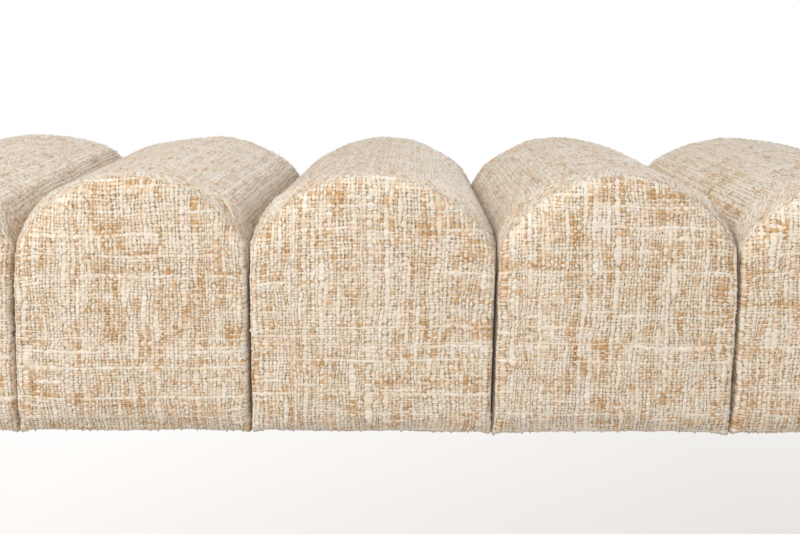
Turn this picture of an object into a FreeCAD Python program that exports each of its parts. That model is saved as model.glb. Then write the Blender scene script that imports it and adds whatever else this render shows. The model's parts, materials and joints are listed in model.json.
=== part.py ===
import FreeCAD
import Part

import math
import os

# Upholstered bench: a row of arched modules, each upholstered by itself, bolted to a timber
# base frame on four turned legs. Millimetres, +Z up, the front faces -Y, and the origin is on
# the floor under the middle of the bench.

Vector = FreeCAD.Vector
UP = Vector(0, 0, 1)

# Whole bench
MODULE_COUNT = 7
MODULE_PITCH = 220.0
SEAT_DEPTH = 450.0
SEAT_HEIGHT = 450.0
BODY_HEIGHT = 234.0

# Cushion form, the same on every module: full shoulders between the seams, slighter ones at
# the seams, and a panel that swells out from its seam
ARCH_RISE = 64.0
BARREL_SHOULDER_SHARE = 0.7
SEAM_SHOULDER_SHARE = 0.36
SEAM_INSET = 2.3
EDGE_ROUND = 20.0
ROUND_STEPS = 4
PANEL_CROWN = 9.0
PANEL_OUTLINE_SHARES = (1.0, 0.97, 0.91, 0.8, 0.62, 0.4)
PANEL_SWELL_POWER = 2.5
MODULE_GAP = 0.4

# Upholstery layers, from the outside in
COVER_THICKNESS = 2.0
HEM_WIDTH = 28.0
WADDING_THICKNESS = 6.0
BASE_BOARD_THICKNESS = 15.0
DUST_CLOTH_THICKNESS = 0.8
DUST_CLOTH_MARGIN = 16.0
SOFT_CLEARANCE = 0.3

# Base frame
RAIL_WIDTH = 60.0
RAIL_THICKNESS = 26.0
RAIL_EDGE_ROUND = 3.0
LONG_RAIL_SETBACK = 85.0
END_RAIL_SETBACK = 28.0
END_RAIL_INSET = 5.0

# Legs and glides
LEG_TOP_DIAMETER = 44.0
LEG_FOOT_DIAMETER = 28.0
LEG_SWELL = 1.6
LEG_EDGE_CHAMFER = 2.0
GLIDE_DIAMETER = 24.0
GLIDE_THICKNESS = 5.0
GLIDE_EDGE_CHAMFER = 1.5
GLIDE_NAIL_DIAMETER = 3.0
GLIDE_NAIL_LENGTH = 16.0

# Leg plates
LEG_PLATE_THICKNESS = 2.5
LEG_PLATE_MARGIN = 2.0
LEG_PLATE_CORNER = 6.0
LEG_PLATE_BOSS_DIAMETER = 14.0
LEG_PLATE_BOSS_HEIGHT = 9.0
LEG_PLATE_SCREW_MARGIN = 8.0
BOSS_CLEARANCE = 0.5

# Fasteners
HANGER_BOLT_DIAMETER = 8.0
HANGER_BOLT_DEPTH = 38.0
WOOD_SCREW_DIAMETER = 4.0
WOOD_SCREW_HEAD_DIAMETER = 8.0
WOOD_SCREW_HEAD_HEIGHT = 2.2
WOOD_SCREW_POINT = 4.0
WOOD_SCREW_LENGTH = 20.0
LAP_SCREW_SPREAD = 14.0
MODULE_BOLT_DIAMETER = 8.0
MODULE_BOLT_SPREAD = 34.0
MODULE_BOLT_HEAD_DIAMETER = 16.0
MODULE_BOLT_HEAD_HEIGHT = 5.0
MODULE_BOLT_HEAD_CHAMFER = 1.5
HEX_SOCKET_ACROSS_CORNERS = 5.8
HEX_SOCKET_DEPTH = 3.0
BOLT_HOLE_CLEARANCE = 0.5
TEE_NUT_BARREL_DIAMETER = 10.0
TEE_NUT_BARREL_LENGTH = 11.0
TEE_NUT_FLANGE_DIAMETER = 22.0
TEE_NUT_FLANGE_THICKNESS = 1.6

# How far a cutting tool runs past the faces that it cuts
OVERRUN = 1.0

# Levels, from the arch down to the floor
BODY_BOTTOM = SEAT_HEIGHT - BODY_HEIGHT
SPRING_LEVEL = SEAT_HEIGHT - ARCH_RISE
FRAME_TOP = BODY_BOTTOM - DUST_CLOTH_THICKNESS
FRAME_MIDDLE = FRAME_TOP - RAIL_THICKNESS / 2
FRAME_BOTTOM = FRAME_TOP - RAIL_THICKNESS
LEG_TOP = FRAME_BOTTOM - LEG_PLATE_THICKNESS
BOARD_BOTTOM = BODY_BOTTOM + COVER_THICKNESS + SOFT_CLEARANCE
BOARD_TOP = BOARD_BOTTOM + BASE_BOARD_THICKNESS

HALF_WIDTH = (MODULE_PITCH - MODULE_GAP) / 2

# Layers inside the cover, as insets from its outer face
WADDING_INSET = COVER_THICKNESS + SOFT_CLEARANCE
WADDING_LINING_INSET = WADDING_INSET + WADDING_THICKNESS
FOAM_INSET = WADDING_LINING_INSET + SOFT_CLEARANCE

# Places in plan
SEAM_Y = SEAT_DEPTH / 2 - PANEL_CROWN
BENCH_HALF_LENGTH = MODULE_COUNT * MODULE_PITCH / 2
MODULE_CENTRES = [(k + 0.5) * MODULE_PITCH - BENCH_HALF_LENGTH for k in range(MODULE_COUNT)]
LONG_RAIL_Y = SEAT_DEPTH / 2 - LONG_RAIL_SETBACK - RAIL_WIDTH / 2
END_RAIL_HALF_LENGTH = SEAT_DEPTH / 2 - END_RAIL_SETBACK
END_RAIL_OUTER_X = BENCH_HALF_LENGTH - END_RAIL_INSET
END_RAIL_X = END_RAIL_OUTER_X - RAIL_WIDTH / 2
CROSS_RAIL_X = BENCH_HALF_LENGTH - round(MODULE_COUNT / 3) * MODULE_PITCH
LEG_Y = END_RAIL_HALF_LENGTH - RAIL_WIDTH / 2
LEG_PLACES = {
    "front_left": (-END_RAIL_X, -LEG_Y),
    "front_right": (END_RAIL_X, -LEG_Y),
    "back_left": (-END_RAIL_X, LEG_Y),
    "back_right": (END_RAIL_X, LEG_Y),
}
LEG_PLATE_SIZE = RAIL_WIDTH - 2 * LEG_PLATE_MARGIN
LAP_PLACES = [
    (side * x, face * LONG_RAIL_Y) for x in (END_RAIL_X, CROSS_RAIL_X) for side in (-1, 1) for face in (-1, 1)
]
MODULE_BOLT_PLACES = [
    (centre + side * MODULE_BOLT_SPREAD, face * LONG_RAIL_Y)
    for centre in MODULE_CENTRES
    for side in (-1, 1)
    for face in (-1, 1)
]


def block(low, high):
    """A box between two opposite corners."""
    size = Vector(*high) - Vector(*low)
    return Part.makeBox(size.x, size.y, size.z, Vector(*low))


def rod(diameter, place, bottom, top):
    """An upright cylinder at a place in plan."""
    return Part.makeCylinder(diameter / 2, top - bottom, Vector(*place, bottom), UP)


def half_section(*corners):
    """Points of half a turned section, from pairs of radius and height."""
    return [Vector(radius, 0, height) for radius, height in corners]


def joined(points):
    """Straight lines from point to point and back to the first one."""
    return [Part.LineSegment(start, end) for start, end in zip(points, points[1:] + points[:1])]


def turned(curves):
    """A solid turned about the Z axis from the curves around half its section."""
    wire = Part.Wire([curve.toShape() for curve in curves])
    return Part.Face(wire).revolve(Vector(0, 0, 0), UP, 360)


def moved(shape, x, y, z):
    """A copy of a shape at another place."""
    copy = shape.copy()
    copy.translate(Vector(x, y, z))
    return copy


def mirrored_back(shape):
    """The same shape on the back of the bench."""
    return shape.mirror(Vector(0, 0, 0), Vector(0, 1, 0))


# Arched cushion module


def arch_wire(shoulder_share, inset, y):
    """The module's outline at a depth y: an arch of three arcs over straight sides, drawn in evenly.

    The shoulders' radius is a share of the rise, and the crown's arc is tangent to both shoulders.
    """
    shoulder_radius = ARCH_RISE * shoulder_share
    shoulder_x = HALF_WIDTH - shoulder_radius
    crown_span = shoulder_x**2 + ARCH_RISE**2 - shoulder_radius**2
    crown_radius = crown_span / (2 * (ARCH_RISE - shoulder_radius))
    crown_z = SEAT_HEIGHT - crown_radius
    tangent = math.atan2(SPRING_LEVEL - crown_z, shoulder_x)
    shoulder, crown = shoulder_radius - inset, crown_radius - inset

    def point(x, z):
        return Vector(x, y, z)

    def on_shoulder(angle):
        return shoulder_x + shoulder * math.cos(angle), SPRING_LEVEL + shoulder * math.sin(angle)

    def line(start, end):
        return Part.LineSegment(start, end).toShape()

    def arc(start, middle, end):
        return Part.Arc(start, middle, end).toShape()

    half, bottom = HALF_WIDTH - inset, BODY_BOTTOM + inset
    middle_x, middle_z = on_shoulder(tangent / 2)
    tangent_x, tangent_z = crown * math.cos(tangent), crown_z + crown * math.sin(tangent)
    low_left, low_right = point(-half, bottom), point(half, bottom)
    spring_left, spring_right = point(-half, SPRING_LEVEL), point(half, SPRING_LEVEL)
    tangent_left, tangent_right = point(-tangent_x, tangent_z), point(tangent_x, tangent_z)
    return Part.Wire(
        [
            line(low_left, low_right),
            line(low_right, spring_right),
            arc(spring_right, point(middle_x, middle_z), tangent_right),
            arc(tangent_right, point(0, SEAT_HEIGHT - inset), tangent_left),
            arc(tangent_left, point(-middle_x, middle_z), spring_left),
            line(spring_left, low_left),
        ]
    )


def barrel(inset, end_gap, end_overrun=0):
    """The module between its two seams, drawn in by an inset, with its edges rounded towards the seams."""
    front = []
    for step in range(ROUND_STEPS + 1):
        angle = math.radians(90) * step / ROUND_STEPS
        fullness = math.sin(angle)
        share = SEAM_SHOULDER_SHARE + (BARREL_SHOULDER_SHARE - SEAM_SHOULDER_SHARE) * fullness
        depth = EDGE_ROUND * (1 - math.cos(angle)) + end_gap
        front.append((share, inset + SEAM_INSET * (1 - fullness), depth - SEAM_Y))
    if end_overrun:
        share, drawn_in, y = front[0]
        front.insert(0, (share, drawn_in, y - end_overrun))
    back = [(share, drawn_in, -y) for share, drawn_in, y in reversed(front)]
    return Part.makeLoft([arch_wire(*station) for station in front + back], True, True)


def slab(bottom, top):
    """Everything in one module between two levels."""
    reach = SEAT_DEPTH / 2 + OVERRUN
    return block((-MODULE_PITCH, -reach, bottom), (MODULE_PITCH, reach, top))


def make_top_band():
    """Cover over the arch and down both sides, with a hem turned in under the base board."""
    shell = barrel(0, 0).cut(barrel(COVER_THICKNESS, 0, OVERRUN))
    hem_x = HALF_WIDTH - HEM_WIDTH
    hem_y = SEAM_Y - HEM_WIDTH
    opening = block((-hem_x, -hem_y, BODY_BOTTOM - OVERRUN), (hem_x, hem_y, BOARD_TOP))
    return shell.cut(opening)


def make_front_panel():
    """Pillowed panel that is sewn to the front edge of the band."""
    middle = Vector(0, -SEAM_Y, BODY_BOTTOM + BODY_HEIGHT / 2)
    swells = [math.sqrt(1 - share**PANEL_SWELL_POWER) for share in PANEL_OUTLINE_SHARES]
    sections = []
    for share, swell in zip(PANEL_OUTLINE_SHARES, swells):
        section = arch_wire(SEAM_SHOULDER_SHARE, SEAM_INSET, -SEAM_Y)
        section.scale(share, middle)
        section.translate(Vector(0, -PANEL_CROWN * swell / max(swells), 0))
        sections.append(section)
    return Part.makeLoft(sections, True, True)


def make_wadding_wrap():
    """Fibre wrap over the foam, standing on the base board at both sides."""
    wrap = barrel(WADDING_INSET, SOFT_CLEARANCE).cut(barrel(WADDING_LINING_INSET, SOFT_CLEARANCE, OVERRUN))
    return wrap.common(slab(BOARD_TOP, SEAT_HEIGHT))


def make_foam_block():
    """Arched foam, glued on the base board."""
    return barrel(FOAM_INSET, SOFT_CLEARANCE).common(slab(BOARD_TOP, SEAT_HEIGHT))


def make_base_board():
    """Plywood board that the cover is stapled to, bored for the module's tee nuts."""
    board = barrel(WADDING_INSET, SOFT_CLEARANCE).common(slab(BODY_BOTTOM, BOARD_TOP))
    bores = []
    for side in (-1, 1):
        for face in (-1, 1):
            place = (side * MODULE_BOLT_SPREAD, face * LONG_RAIL_Y)
            recess = BOARD_TOP - TEE_NUT_FLANGE_THICKNESS
            bores.append(rod(TEE_NUT_BARREL_DIAMETER, place, BODY_BOTTOM, BOARD_TOP))
            bores.append(rod(TEE_NUT_FLANGE_DIAMETER, place, recess, BOARD_TOP + OVERRUN))
    return board.cut(bores)


def make_dust_cloth():
    """Thin cloth over the hem under the module, holed for the bolts."""
    cloth_x = HALF_WIDTH - DUST_CLOTH_MARGIN
    cloth_y = SEAM_Y - DUST_CLOTH_MARGIN
    cloth = block((-cloth_x, -cloth_y, FRAME_TOP), (cloth_x, cloth_y, BODY_BOTTOM))
    hole = MODULE_BOLT_DIAMETER + 2 * BOLT_HOLE_CLEARANCE
    places = [(side * MODULE_BOLT_SPREAD, face * LONG_RAIL_Y) for side in (-1, 1) for face in (-1, 1)]
    return cloth.cut([rod(hole, place, FRAME_TOP - OVERRUN, BODY_BOTTOM + OVERRUN) for place in places])


# Fasteners


def make_wood_screw():
    """Countersunk screw, driven upwards, with its head's face at height 0."""
    head, shank = WOOD_SCREW_HEAD_DIAMETER / 2, WOOD_SCREW_DIAMETER / 2
    section = half_section(
        (0, 0),
        (head, 0),
        (shank, WOOD_SCREW_HEAD_HEIGHT),
        (shank, WOOD_SCREW_LENGTH - WOOD_SCREW_POINT),
        (0, WOOD_SCREW_LENGTH),
    )
    return turned(joined(section))


def make_module_bolt():
    """Socket bolt through a rail, with its head under the frame and its end flush with the tee nut."""
    head, shank = MODULE_BOLT_HEAD_DIAMETER / 2, MODULE_BOLT_DIAMETER / 2
    face = FRAME_BOTTOM - MODULE_BOLT_HEAD_HEIGHT
    section = half_section(
        (0, face),
        (head - MODULE_BOLT_HEAD_CHAMFER, face),
        (head, face + MODULE_BOLT_HEAD_CHAMFER),
        (head, FRAME_BOTTOM),
        (shank, FRAME_BOTTOM),
        (shank, BOARD_TOP),
        (0, BOARD_TOP),
    )
    reach = HEX_SOCKET_ACROSS_CORNERS / 2
    turns = [math.radians(60) * corner for corner in range(7)]
    hexagon = [Vector(reach * math.cos(turn), reach * math.sin(turn), face - OVERRUN) for turn in turns]
    socket = Part.Face(Part.makePolygon(hexagon)).extrude(UP * (HEX_SOCKET_DEPTH + OVERRUN))
    return turned(joined(section)).cut(socket)


def make_tee_nut():
    """Flanged nut, flush with the top of the base board."""
    bore, body, flange = MODULE_BOLT_DIAMETER / 2, TEE_NUT_BARREL_DIAMETER / 2, TEE_NUT_FLANGE_DIAMETER / 2
    flange_bottom = BOARD_TOP - TEE_NUT_FLANGE_THICKNESS
    body_bottom = BOARD_TOP - TEE_NUT_BARREL_LENGTH
    section = half_section(
        (bore, body_bottom),
        (body, body_bottom),
        (body, flange_bottom),
        (flange, flange_bottom),
        (flange, BOARD_TOP),
        (bore, BOARD_TOP),
    )
    return turned(joined(section))


def plate_screw_places():
    """Places of the four screws of every leg plate."""
    reach = LEG_PLATE_SIZE / 2 - LEG_PLATE_SCREW_MARGIN
    return [(x + i * reach, y + j * reach) for x, y in LEG_PLACES.values() for i in (-1, 1) for j in (-1, 1)]


def lap_screw_places():
    """Places of the two screws of every half-lap."""
    return [
        (x + side * LAP_SCREW_SPREAD, y + side * LAP_SCREW_SPREAD) for x, y in LAP_PLACES for side in (-1, 1)
    ]


def make_fasteners():
    """Each kind of fastener as a list of separate solids."""
    screw, bolt, nut = make_wood_screw(), make_module_bolt(), make_tee_nut()
    boss_top = FRAME_BOTTOM + LEG_PLATE_BOSS_HEIGHT
    return {
        "wood_screws": [moved(screw, x, y, LEG_TOP) for x, y in plate_screw_places()]
        + [moved(screw, x, y, FRAME_BOTTOM) for x, y in lap_screw_places()],
        "module_bolts": [moved(bolt, x, y, 0) for x, y in MODULE_BOLT_PLACES],
        "tee_nuts": [moved(nut, x, y, 0) for x, y in MODULE_BOLT_PLACES],
        "hanger_bolts": [
            rod(HANGER_BOLT_DIAMETER, place, LEG_TOP - HANGER_BOLT_DEPTH, boss_top)
            for place in LEG_PLACES.values()
        ],
    }


# Base frame


def rail_tools(fasteners):
    """Holes that the fasteners and the leg plates' bosses need in the rails."""
    hole = MODULE_BOLT_DIAMETER + 2 * BOLT_HOLE_CLEARANCE
    boss = LEG_PLATE_BOSS_DIAMETER + 2 * BOSS_CLEARANCE
    boss_top = FRAME_BOTTOM + LEG_PLATE_BOSS_HEIGHT + BOSS_CLEARANCE
    tools = [rod(hole, place, FRAME_BOTTOM - OVERRUN, FRAME_TOP + OVERRUN) for place in MODULE_BOLT_PLACES]
    tools += [rod(boss, place, FRAME_BOTTOM - OVERRUN, boss_top) for place in LEG_PLACES.values()]
    return tools + fasteners["wood_screws"]


def rounded_plank(low, high):
    """A plank with its long lower edges rounded over."""
    plank = block(low, high)
    size = plank.BoundBox
    longest = max(size.XLength, size.YLength)
    lower = [
        edge
        for edge in plank.Edges
        if edge.BoundBox.ZMax < FRAME_MIDDLE and math.isclose(edge.Length, longest)
    ]
    return plank.makeFillet(RAIL_EDGE_ROUND, lower)


def make_long_rail(y, tools):
    """Front or back rail, lapped over the end rails and the cross rails."""
    half = RAIL_WIDTH / 2
    rail = rounded_plank((-END_RAIL_OUTER_X, y - half, FRAME_BOTTOM), (END_RAIL_OUTER_X, y + half, FRAME_TOP))
    laps = []
    for side in (-1, 1):
        for x, past_end in ((CROSS_RAIL_X, 0), (END_RAIL_X, OVERRUN)):
            low_x, high_x = sorted((side * (x - half), side * (x + half + past_end)))
            low = (low_x, y - half - OVERRUN, FRAME_BOTTOM - OVERRUN)
            laps.append(block(low, (high_x, y + half + OVERRUN, FRAME_MIDDLE)))
    return rail.cut(laps + tools)


def make_lower_rail(x, half_length, tools):
    """End rail or cross rail, notched on top for the two long rails."""
    half = RAIL_WIDTH / 2
    rail = rounded_plank((x - half, -half_length, FRAME_BOTTOM), (x + half, half_length, FRAME_TOP))
    notches = []
    for y in (-LONG_RAIL_Y, LONG_RAIL_Y):
        low = (x - half - OVERRUN, y - half, FRAME_MIDDLE)
        notches.append(block(low, (x + half + OVERRUN, y + half, FRAME_TOP + OVERRUN)))
    return rail.cut(notches + tools)


# Legs


def make_leg_plate():
    """Steel plate under an end rail, with a threaded boss for the leg's bolt."""
    half = LEG_PLATE_SIZE / 2
    plate = block((-half, -half, LEG_TOP), (half, half, FRAME_BOTTOM))
    corners = [edge for edge in plate.Edges if edge.BoundBox.ZLength > LEG_PLATE_THICKNESS / 2]
    plate = plate.makeFillet(LEG_PLATE_CORNER, corners)
    boss_top = FRAME_BOTTOM + LEG_PLATE_BOSS_HEIGHT
    plate = plate.fuse(rod(LEG_PLATE_BOSS_DIAMETER, (0, 0), FRAME_BOTTOM, boss_top))
    reach = half - LEG_PLATE_SCREW_MARGIN
    holes = [moved(make_wood_screw(), i * reach, j * reach, LEG_TOP) for i in (-1, 1) for j in (-1, 1)]
    return plate.cut(holes + [rod(HANGER_BOLT_DIAMETER, (0, 0), LEG_TOP - OVERRUN, boss_top + OVERRUN)])


def make_glide():
    """Round glide with the nail that holds it in the foot of a leg."""
    pad, nail = GLIDE_DIAMETER / 2, GLIDE_NAIL_DIAMETER / 2
    nail_top = GLIDE_THICKNESS + GLIDE_NAIL_LENGTH
    section = half_section(
        (0, 0),
        (pad - GLIDE_EDGE_CHAMFER, 0),
        (pad, GLIDE_EDGE_CHAMFER),
        (pad, GLIDE_THICKNESS),
        (nail, GLIDE_THICKNESS),
        (nail, nail_top - GLIDE_NAIL_DIAMETER),
        (0, nail_top),
    )
    return turned(joined(section))


def make_leg(glide):
    """Turned leg with a slight swell, bored for its bolt and its glide's nail."""
    top, foot = LEG_TOP_DIAMETER / 2, LEG_FOOT_DIAMETER / 2
    low, high = GLIDE_THICKNESS + LEG_EDGE_CHAMFER, LEG_TOP - LEG_EDGE_CHAMFER
    section = half_section(
        (top, high),
        (top - LEG_EDGE_CHAMFER, LEG_TOP),
        (0, LEG_TOP),
        (0, GLIDE_THICKNESS),
        (foot - LEG_EDGE_CHAMFER, GLIDE_THICKNESS),
        (foot, low),
    )
    (swell,) = half_section(((top + foot) / 2 + LEG_SWELL, (low + high) / 2))
    straight_sides = joined(section)[:-1]
    leg = turned(straight_sides + [Part.Arc(section[-1], swell, section[0])])
    bolt_bore = rod(HANGER_BOLT_DIAMETER, (0, 0), LEG_TOP - HANGER_BOLT_DEPTH, LEG_TOP + OVERRUN)
    return leg.cut([bolt_bore, glide])


# Assembly


def make_modules():
    """Every layer of every module, numbered from the left."""
    front_panel = make_front_panel()
    layers = {
        "top_band": make_top_band(),
        "front_panel": front_panel,
        "back_panel": mirrored_back(front_panel),
        "wadding_wrap": make_wadding_wrap(),
        "foam_block": make_foam_block(),
        "base_board": make_base_board(),
    }
    return {
        f"{name}_{number}": moved(shape, x, 0, 0)
        for name, shape in layers.items()
        for number, x in enumerate(MODULE_CENTRES, start=1)
    }


def make_base_frame(fasteners):
    """The six lapped rails."""
    tools = rail_tools(fasteners)
    cross_half_length = LONG_RAIL_Y + RAIL_WIDTH / 2
    return {
        "front_rail": make_long_rail(-LONG_RAIL_Y, tools),
        "back_rail": make_long_rail(LONG_RAIL_Y, tools),
        "left_end_rail": make_lower_rail(-END_RAIL_X, END_RAIL_HALF_LENGTH, tools),
        "right_end_rail": make_lower_rail(END_RAIL_X, END_RAIL_HALF_LENGTH, tools),
        "left_cross_rail": make_lower_rail(-CROSS_RAIL_X, cross_half_length, tools),
        "right_cross_rail": make_lower_rail(CROSS_RAIL_X, cross_half_length, tools),
    }


def make_legs():
    """A leg at each corner, with the plates over the legs and the glides under them as groups."""
    glide = make_glide()
    leg, plate = make_leg(glide), make_leg_plate()
    parts = {f"leg_{corner}": moved(leg, x, y, 0) for corner, (x, y) in LEG_PLACES.items()}
    parts["leg_plates"] = Part.makeCompound([moved(plate, x, y, 0) for x, y in LEG_PLACES.values()])
    parts["glides"] = Part.makeCompound([moved(glide, x, y, 0) for x, y in LEG_PLACES.values()])
    return parts


def make_parts():
    """Every node of the bench by name."""
    fasteners = make_fasteners()
    dust_cloth = make_dust_cloth()
    parts = make_modules()
    parts["dust_cloths"] = Part.makeCompound([moved(dust_cloth, x, 0, 0) for x in MODULE_CENTRES])
    parts.update(make_base_frame(fasteners))
    parts.update(make_legs())
    parts.update({name: Part.makeCompound(solids) for name, solids in fasteners.items()})
    return parts


def main():
    """Builds the bench and writes one file for each node."""
    os.makedirs("parts", exist_ok=True)
    for name, shape in make_parts().items():
        if not shape.isValid() or any(solid.Volume <= 0 for solid in shape.Solids):
            print(f"{name}: not a valid solid")
        shape.exportStep(f"parts/{name}.step")
        print(f"{name}: {len(shape.Solids)} solids, {shape.Volume / 1000:.1f} cm3")


main()
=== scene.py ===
import json
import math

import bmesh
import bpy
import numpy as np
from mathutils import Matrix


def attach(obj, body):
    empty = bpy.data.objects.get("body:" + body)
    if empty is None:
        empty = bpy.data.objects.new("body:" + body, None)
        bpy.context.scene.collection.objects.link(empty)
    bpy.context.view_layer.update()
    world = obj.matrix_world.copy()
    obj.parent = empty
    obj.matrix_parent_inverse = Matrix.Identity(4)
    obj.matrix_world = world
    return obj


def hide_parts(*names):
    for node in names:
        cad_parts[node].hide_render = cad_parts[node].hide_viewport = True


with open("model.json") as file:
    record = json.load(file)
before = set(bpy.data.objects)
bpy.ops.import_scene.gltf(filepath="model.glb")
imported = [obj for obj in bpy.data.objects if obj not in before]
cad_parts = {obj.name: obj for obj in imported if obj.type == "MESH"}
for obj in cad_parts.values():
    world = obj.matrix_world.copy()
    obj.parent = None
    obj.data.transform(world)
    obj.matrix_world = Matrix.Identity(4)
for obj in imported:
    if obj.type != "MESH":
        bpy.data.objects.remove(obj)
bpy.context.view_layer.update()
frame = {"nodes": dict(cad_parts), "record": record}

# Form of the cushion modules, in millimetres
MM = 0.001
MODULES = 7
PITCH = 220.0
MODULE_GAP = 0.4
HALF = (PITCH - MODULE_GAP) / 2
SEAT_TOP = 450.0
BODY_HEIGHT = 234.0
BODY_BOTTOM = SEAT_TOP - BODY_HEIGHT
PANEL_MIDDLE = (BODY_BOTTOM + SEAT_TOP) / 2
SEAM_Y = 216.0
RISE = 64.0
SPRING = SEAT_TOP - RISE
BARREL_SHARE = 0.77
SEAM_SHARE = 0.36
SEAM_INSET = 0.25
EDGE_ROUND = 28.0
HEM_ROUND = 1.5
HEM_RETURN = 18.0
SEAM_ALLOWANCE = 7.0
SEAM_TUCK = 6.0
SEAM_TRIM = 5.0

# Panels: their crown, the widths of their rounded edges, and the uneven yarn ends at their sides
PANEL_CROWN = 3.0
PANEL_EDGE_DEPTH = 9.0
SIDE_EDGE = 1.6
TOP_EDGE = 14.0
SHOULDER_EXTRA = 6.0
FOOT_EDGE = 20.0
EDGE_TURN = 0.995
SHOULDER_TURN = 0.6
RAGGED_MEAN = 0.15
RAGGED_SPREAD = 0.4
RAGGED_LIMITS = (-0.15, 0.7)
RAGGED_RATE = 4.0
RAGGED_START = 1.2
RAGGED_REACH = 3.0

# Top and foot of a panel by the sine of a direction, and shoulders by the band's distance past the seam
OVER_TOP = (0.3, 0.7)
UNDER_FOOT = (0.5, 0.9)
SHOULDER_STEP = (1.5, 10.0)

# Lower edges: how the covers hang, turn under and close up where modules meet
STRAIGHT_HEIGHT = 15.0
SEWN_HEIGHT = 25.0
HEM_HEIGHTS = (2.0, 14.0)
HEM_EDGE = 4.0
HEM_FLAT = 0.5
PANEL_HEM_SLOPE = 0.1
BAND_HEM_SLOPE = 0.3
FOOT_GAP = 0.2
FOOT_CLOSE_HEIGHT = 45.0
FOOT_HANG = 1.2
FOOT_HANG_HEIGHT = 8.0
FOOT_UNEVENNESS = 0.7
CORNER_HANG = 2.0
CORNER_WIDTH = 14.0
FOOT_RELIEF = 0.5
FOOT_RELIEF_HEIGHTS = (12.0, 45.0)

# Cover cloth: upright and cross yarns, how far the weave stands proud, and how the seams draw it in
WARP_PITCH = 3.67
PICK_PITCH = 2.75
YARN_UNEVENNESS = 0.22
NUB_SPREAD = 0.45
NUB_LIMITS = (0.2, 2.0)
UNDER_SHARE = 0.4
PANEL_WEAVE = (0.6, 0.25)
BAND_WEAVE = (0.3, 0.45)
YARN_RELIEF = 0.9
BAND_RELIEF = 1.6
SLUB_RELIEF = 0.3
SEAM_PLUNGE = 0.4
SEAM_PLUNGE_WIDTH = 2.4
SEAM_FADE = 3.0
SIDE_SEAM_FADE = 1.0
PUCKER = 0.5
PUCKER_REACH = 14.0
PUCKER_START = 6.0
PUCKER_TURN = 3
BAND_PUCKER_LENGTH = 6.5
PANEL_PUCKERS = 31

# Thick stretches of yarn: how many, their lengths in yarns, and how much thicker they are
PANEL_PICK_SLUBS = (16, (5, 16), (0.15, 0.5))
PANEL_THICK_SLUBS = (7, (5, 12), (0.6, 1.1))
PANEL_WARP_SLUBS = (46, (3, 16), (0.15, 0.5))
BAND_PICK_SLUBS = (40, (6, 18), (0.15, 0.5))
BAND_WARP_SLUBS = (90, (3, 16), (0.15, 0.5))
SLUB_SPREAD = 4.0
SLUB_SHARPNESS = 1.6
SLUB_SQUARENESS = 6

# How yarns stray from straight lines: length and spread in yarns, and size
STRAYINGS = ((70.0, 60.0, 0.9), (31.0, 18.0, 0.5), (17.0, 7.0, 0.35), (9.0, 3.0, 0.22))
STRAY_WAVES = 3
STRAY_EVENING = 1.7
BAND_PICK_STRAY = 0.6
BAND_WARP_STRAY = 0.5
BAND_END_WIDTH = 12.0

# Sides of the bands: coarser where the next module hides them, and how far they may stand out
HIDDEN_DEPTH = 45.0
HIDDEN_STEP = 6
SEEN_PLAY = 0.1
END_PLAY = 3.0
SIDE_LIMIT = 0.6
SIDE_EASE = 4.0

# Yarn numbers at which covers start, so that no two show the same stretch of cloth
MODULE_YARNS = 200
BACK_YARNS = 300
BAND_YARNS = 600

# Seeds of the random draws, which go up with the module's number
BAG_SEED = 40
PANEL_SEED = 100
BAND_SEED = 300
PANEL_PICK_SEED = 40
BAND_PICK_SEED = 80
BAND_WARP_SEED = 120
FOOT_SEED = 160
RAGGED_SEED = 200

# How the soft modules lean and settle: offsets of the lines between them, from left to right
FRONT_OFFSETS = (0.0, 0.0, 3.2, -4.0, 0.3, -2.6, 0.0, 0.0)
FOOT_OFFSETS = (0.0, 0.0, -7.0, -2.3, -2.6, 1.6, 0.0, 0.0)
BACK_OFFSETS = (0.0, 0.0, 4.0, 5.5, -3.0, -9.0, 0.0, 0.0)
FRONT_RISES = (5.0, 6.0, 8.0, 9.0, 8.0, 6.0, 5.0)
BACK_RISES = (-2.0, -2.0, -5.0, -5.0, -5.0, -5.5, -2.0)
VALLEY_DROP = 3.0
VALLEY_DROP_WIDTH = 20.0
VALLEY_SAGS = (0.0, 0.0, -11.0, 6.0, 9.0, 0.0, -6.0, 0.0)
VALLEY_SAG_WIDTH = 85.0
VALLEY_DEPTH = 70.0

# Cloth simulation of the coarse bags
BAG_CELLS = 26
BAG_WAVES = 6
BAG_WAVE_RATES = (0.012, 0.008, 0.012)
BAG_UNEVENNESS = 0.5
BAG_SEAM_SHARE = 0.995
BAG_FACE_SHARE = 0.999
SWELL_PRESSURE = 4.0
SWELL_STEPS = 20
SWELL_CAP = 5.0
LEVEL_SHARE = 0.45
LEVEL_WIDTHS = (0.4, 3.0)
HELD_WIDTH = 12.0
HELD_HEIGHTS = (SPRING - 30.0, SPRING + 10.0)

# Camera of the photograph and its studio: metres, degrees, millimetres of lens, and watts
CAMERA_PLACE = (0.0348, -1.1960, 0.5928)
CAMERA_TILT = 77.28
CAMERA_TURN = 0.704
CAMERA_LENS = 49.9
CAMERA_SENSOR = 36.0
SOFTBOXES = (
    ("key softbox", (-1.3, -1.4, 2.2), 1.2, 44.5),
    ("fill softbox", (1.2, -2.6, 1.3), 2.2, 12.5),
)
SOFTBOX_AIM = (0.0, 0.0, 0.3)
AMBIENT_STRENGTH = 0.55
FLOOR_HALF = 15.0


def mix(low, high, share):
    return low + (high - low) * share


def smooth_step(low, high, value):
    share = np.clip((value - low) / (high - low), 0.0, 1.0)
    return share * share * (3.0 - 2.0 * share)


def unit(vectors):
    return vectors / np.maximum(np.linalg.norm(vectors, axis=-1, keepdims=True), 1e-9)


# Module form


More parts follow.
